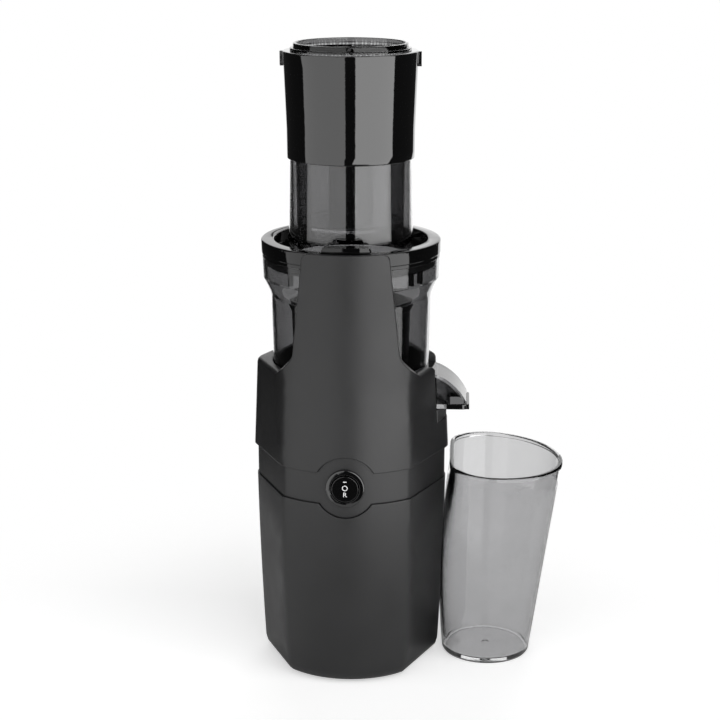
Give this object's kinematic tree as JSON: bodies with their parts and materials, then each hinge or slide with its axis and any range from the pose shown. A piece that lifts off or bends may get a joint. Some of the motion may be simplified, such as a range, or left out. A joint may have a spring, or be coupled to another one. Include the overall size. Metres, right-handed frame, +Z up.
{
  "type": "cold press juicer",
  "caption": "Upright cold press juicer: faceted motor base with a front arm, bowl with two spouts, auger, strainer, lid with wide feed tube, pusher and a separate cup.",
  "frame": {"origin": "on the table under the middle of the motor base, at the foot ring's underside", "axes": "+Z up along the auger, the switch faces -Y, the juice spout and the cup lie along +X"},
  "size_m": [0.2169, 0.1523, 0.4343],
  "materials": {
    "housing": "fine satin texture, charcoal",
    "gloss_black": "polished black",
    "smoke": "polished clear smoke grey",
    "cup": "polished clear light smoke grey",
    "strainer": "satin dark frame with fine mesh",
    "auger": "satin black",
    "steel": "turned steel",
    "bronze": "sintered bronze",
    "copper": "wound copper and steel sheets",
    "ferrite": "ground ferrite",
    "gear": "natural acetal",
    "gearbox": "glass-filled dark plastic",
    "rubber": "soft matt rubber",
    "silicone": "smooth grey silicone"
  },
  "bodies": {
    "base": {"lower_housing": "housing", "switch_band": "housing", "upper_housing": "housing", "base_cover": "housing", "foot_ring": "rubber", "cable_gland": "rubber", "motor_can": "steel", "motor_end_plate": "steel", "field_magnets": "ferrite", "lower_motor_bush": "bronze", "upper_motor_bush": "bronze", "motor_pad": "rubber", "first_layshaft_pin": "steel", "second_layshaft_pin": "steel", "gearbox_case": "gearbox", "gearbox_cover": "gearbox", "output_bush": "bronze", "shaft_seal": "rubber", "base_cover_screws": "steel", "housing_tie_screws": "steel", "switch_bezel": "gloss_black", "switch_body": "gearbox"},
    "rotor": {"motor_rotor": "copper", "motor_pinion": "steel"},
    "first_gear": {"first_layshaft_gear": "gear"},
    "second_gear": {"second_layshaft_gear": "gear"},
    "output": {"output_gear": "gear", "output_shaft": "steel"},
    "rocker": {"switch_rocker": "gloss_black"},
    "bowl": {"juice_bowl": "smoke", "bowl_seal": "silicone", "strainer": "strainer"},
    "auger": {"auger": "auger"},
    "lid": {"lid": "gloss_black", "lid_gasket": "silicone", "feed_tube": "smoke", "tube_collar": "gloss_black"},
    "pusher": {"pusher": "smoke"},
    "cup": {"juice_cup": "cup"}
  },
  "joints": [
    {"name": "motor_spin", "type": "hinge", "parent": "base", "child": "rotor", "pos_m": [0, 0, 0.05], "axis": [0, 0, 1], "continuous": true},
    {"name": "first_gear_spin", "type": "hinge", "parent": "base", "child": "first_gear", "pos_m": [-0.00375, 0.02127, 0.1], "axis": [0, 0, 1], "continuous": true},
    {"name": "second_gear_spin", "type": "hinge", "parent": "base", "child": "second_gear", "pos_m": [-0.02741, 0.01727, 0.1], "axis": [0, 0, 1], "continuous": true},
    {"name": "output_spin", "type": "hinge", "parent": "base", "child": "output", "pos_m": [0, 0, 0.15], "axis": [0, 0, 1], "continuous": true},
    {"name": "auger_spin", "type": "hinge", "parent": "bowl", "child": "auger", "pos_m": [0, 0, 0.2], "axis": [0, 0, 1], "continuous": true},
    {"name": "switch_tilt", "type": "hinge", "parent": "base", "child": "rocker", "pos_m": [0, -0.0666, 0.146], "axis": [1, 0, 0], "range_deg": [-8, 8]},
    {"name": "bowl_lift", "type": "slide", "parent": "base", "child": "bowl", "axis": [0, 0, 1], "range_m": [0, 0.135]},
    {"name": "lid_turn", "type": "hinge", "parent": "bowl", "child": "lid", "pos_m": [0, 0, 0.3], "axis": [0, 0, 1], "range_deg": [0, 40]},
    {"name": "pusher_lift", "type": "slide", "parent": "lid", "child": "pusher", "axis": [0, 0, 1], "range_m": [0, 0.118]},
    {"name": "cup_slide", "type": "slide", "parent": "base", "child": "cup", "axis": [1, 0, 0], "range_m": [0, 0.12]}
  ],
  "couplings": [
    {"joint": "first_gear_spin", "follows": "motor_spin", "ratio": -0.33333},
    {"joint": "second_gear_spin", "follows": "motor_spin", "ratio": 0.11111},
    {"joint": "output_spin", "follows": "motor_spin", "ratio": -0.031746},
    {"joint": "auger_spin", "follows": "motor_spin", "ratio": -0.031746}
  ]
}
